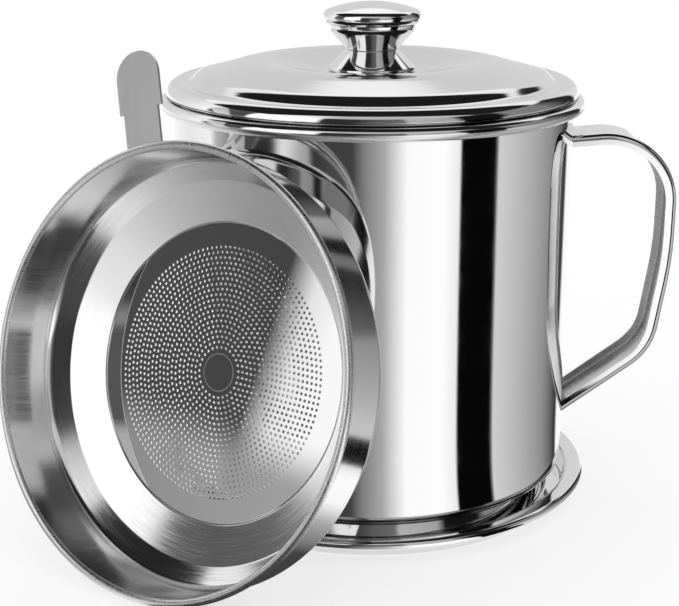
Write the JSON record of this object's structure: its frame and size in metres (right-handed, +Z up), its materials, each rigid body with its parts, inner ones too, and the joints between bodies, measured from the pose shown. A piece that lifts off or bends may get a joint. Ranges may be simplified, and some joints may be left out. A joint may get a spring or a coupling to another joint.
{
  "type": "bacon grease container",
  "caption": "Lidded steel pot for bacon grease with a side handle, on a drip tray, with its round fine-hole strainer leaning against it.",
  "frame": {"origin": "on the pot's axis, on the surface that the tray stands on", "axes": "+Z up along the pot's axis; +X from the axis towards the handle; the strainer leans on the pot's front left, between -Y and -X"},
  "size_m": [0.2294, 0.2135, 0.1741],
  "materials": {
    "polished_steel": "mirror polished stainless steel",
    "pressed_steel": "bright satin stainless steel",
    "satin_steel": "matte brushed stainless steel",
    "fastener_steel": "plain stainless steel"
  },
  "bodies": {
    "tray": {"drip_tray": "pressed_steel"},
    "pot": {"pot_body": "polished_steel", "pot_rim": "polished_steel", "pot_handle": "polished_steel"},
    "lid": {"lid_shell": "pressed_steel", "knob_skirt": "polished_steel", "knob_cup": "polished_steel", "knob_cap": "polished_steel", "knob_screw": "fastener_steel", "knob_washer": "fastener_steel", "knob_nut": "fastener_steel"},
    "strainer": {"strainer_bowl": "pressed_steel", "filter_disc": "polished_steel", "strainer_tab": "satin_steel"}
  },
  "joints": [
    {"name": "pot_lift", "type": "slide", "parent": "tray", "child": "pot", "axis": [0, 0, 1], "range_m": [0, 0.15]},
    {"name": "lid_lift", "type": "slide", "parent": "pot", "child": "lid", "axis": [0, 0, 1], "range_m": [0, 0.15]},
    {"name": "strainer_lift", "type": "slide", "parent": "tray", "child": "strainer", "axis": [-0.4056, -0.5792, 0.7071], "range_m": [0, 0.2]}
  ]
}
